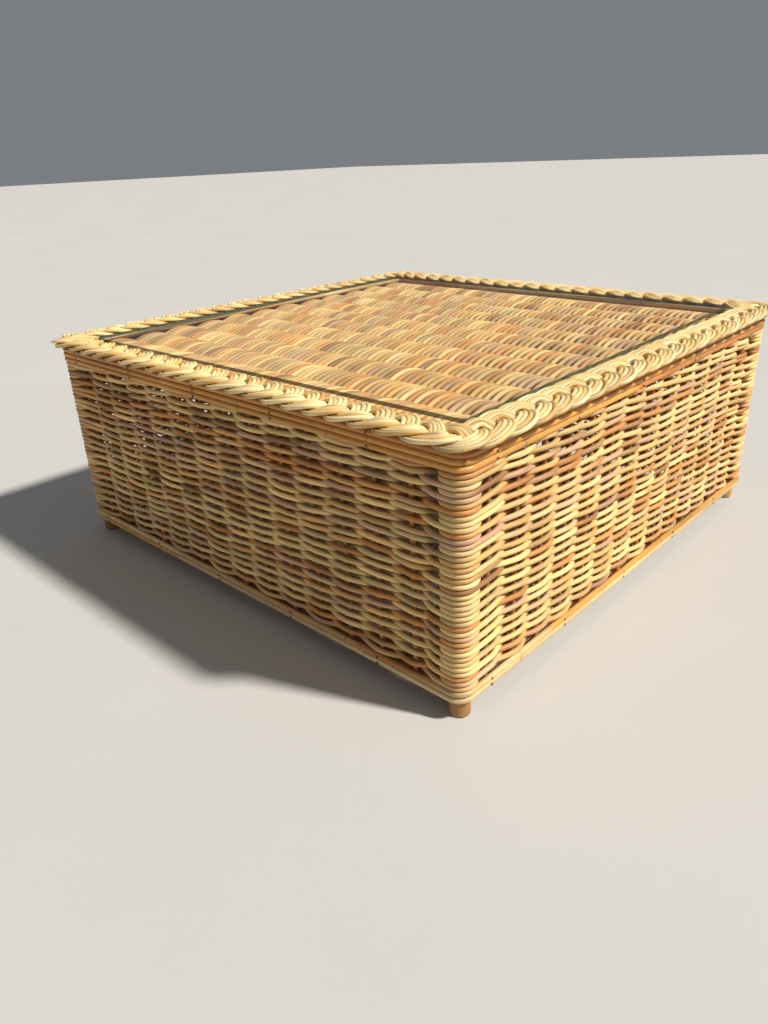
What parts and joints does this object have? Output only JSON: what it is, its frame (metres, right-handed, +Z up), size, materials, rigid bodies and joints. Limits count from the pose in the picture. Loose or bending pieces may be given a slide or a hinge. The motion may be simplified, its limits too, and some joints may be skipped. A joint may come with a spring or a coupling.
{
  "type": "wicker coffee table",
  "caption": "Low square wicker coffee table with woven cane sides, a plaited border and a loose glass pane lying in its recessed woven top.",
  "frame": {"origin": "on the ground, under the middle of the table", "axes": "+Z up; -Y is the front; the sides are square to X and Y, and the top's weaving canes run along Y"},
  "size_m": [1, 1, 0.4],
  "materials": {
    "frame_pole": "satin",
    "stake": "satin",
    "side_weave": "satin",
    "top_weave": "satin",
    "trim_pole": "satin",
    "braid": "satin",
    "nail_steel": "dull",
    "glass": "clear"
  },
  "bodies": {
    "table": {"corner_post_front_left": "frame_pole", "corner_post_front_right": "frame_pole", "corner_post_back_right": "frame_pole", "corner_post_back_left": "frame_pole", "bottom_rail_front": "frame_pole", "bottom_rail_right": "frame_pole", "bottom_rail_back": "frame_pole", "bottom_rail_left": "frame_pole", "top_rail_front": "frame_pole", "top_rail_right": "frame_pole", "top_rail_back": "frame_pole", "top_rail_left": "frame_pole", "cross_bearer_left": "frame_pole", "cross_bearer_middle": "frame_pole", "cross_bearer_right": "frame_pole", "frame_screws": "nail_steel", "side_stakes_front": "stake", "side_stakes_right": "stake", "side_stakes_back": "stake", "side_stakes_left": "stake", "side_weave_front": "side_weave", "side_weave_right": "side_weave", "side_weave_back": "side_weave", "side_weave_left": "side_weave", "top_stakes": "stake", "top_weave": "top_weave", "top_trim_upper_1": "trim_pole", "top_trim_upper_2": "trim_pole", "top_trim_middle_1": "trim_pole", "top_trim_middle_2": "trim_pole", "top_trim_lower_1": "trim_pole", "top_trim_lower_2": "trim_pole", "bottom_trim_upper_1": "trim_pole", "bottom_trim_upper_2": "trim_pole", "bottom_trim_lower_1": "trim_pole", "bottom_trim_lower_2": "trim_pole", "top_trim_nails": "nail_steel", "bottom_trim_nails": "nail_steel", "braid_front": "braid", "braid_right": "braid", "braid_back": "braid", "braid_left": "braid", "ledge_cane_front": "trim_pole", "ledge_cane_right": "trim_pole", "ledge_cane_back": "trim_pole", "ledge_cane_left": "trim_pole"},
    "pane": {"glass_pane": "glass"}
  },
  "joints": [
    {"name": "pane_lift", "type": "slide", "parent": "table", "child": "pane", "axis": [0, 0, 1], "range_m": [0, 0.08]}
  ]
}
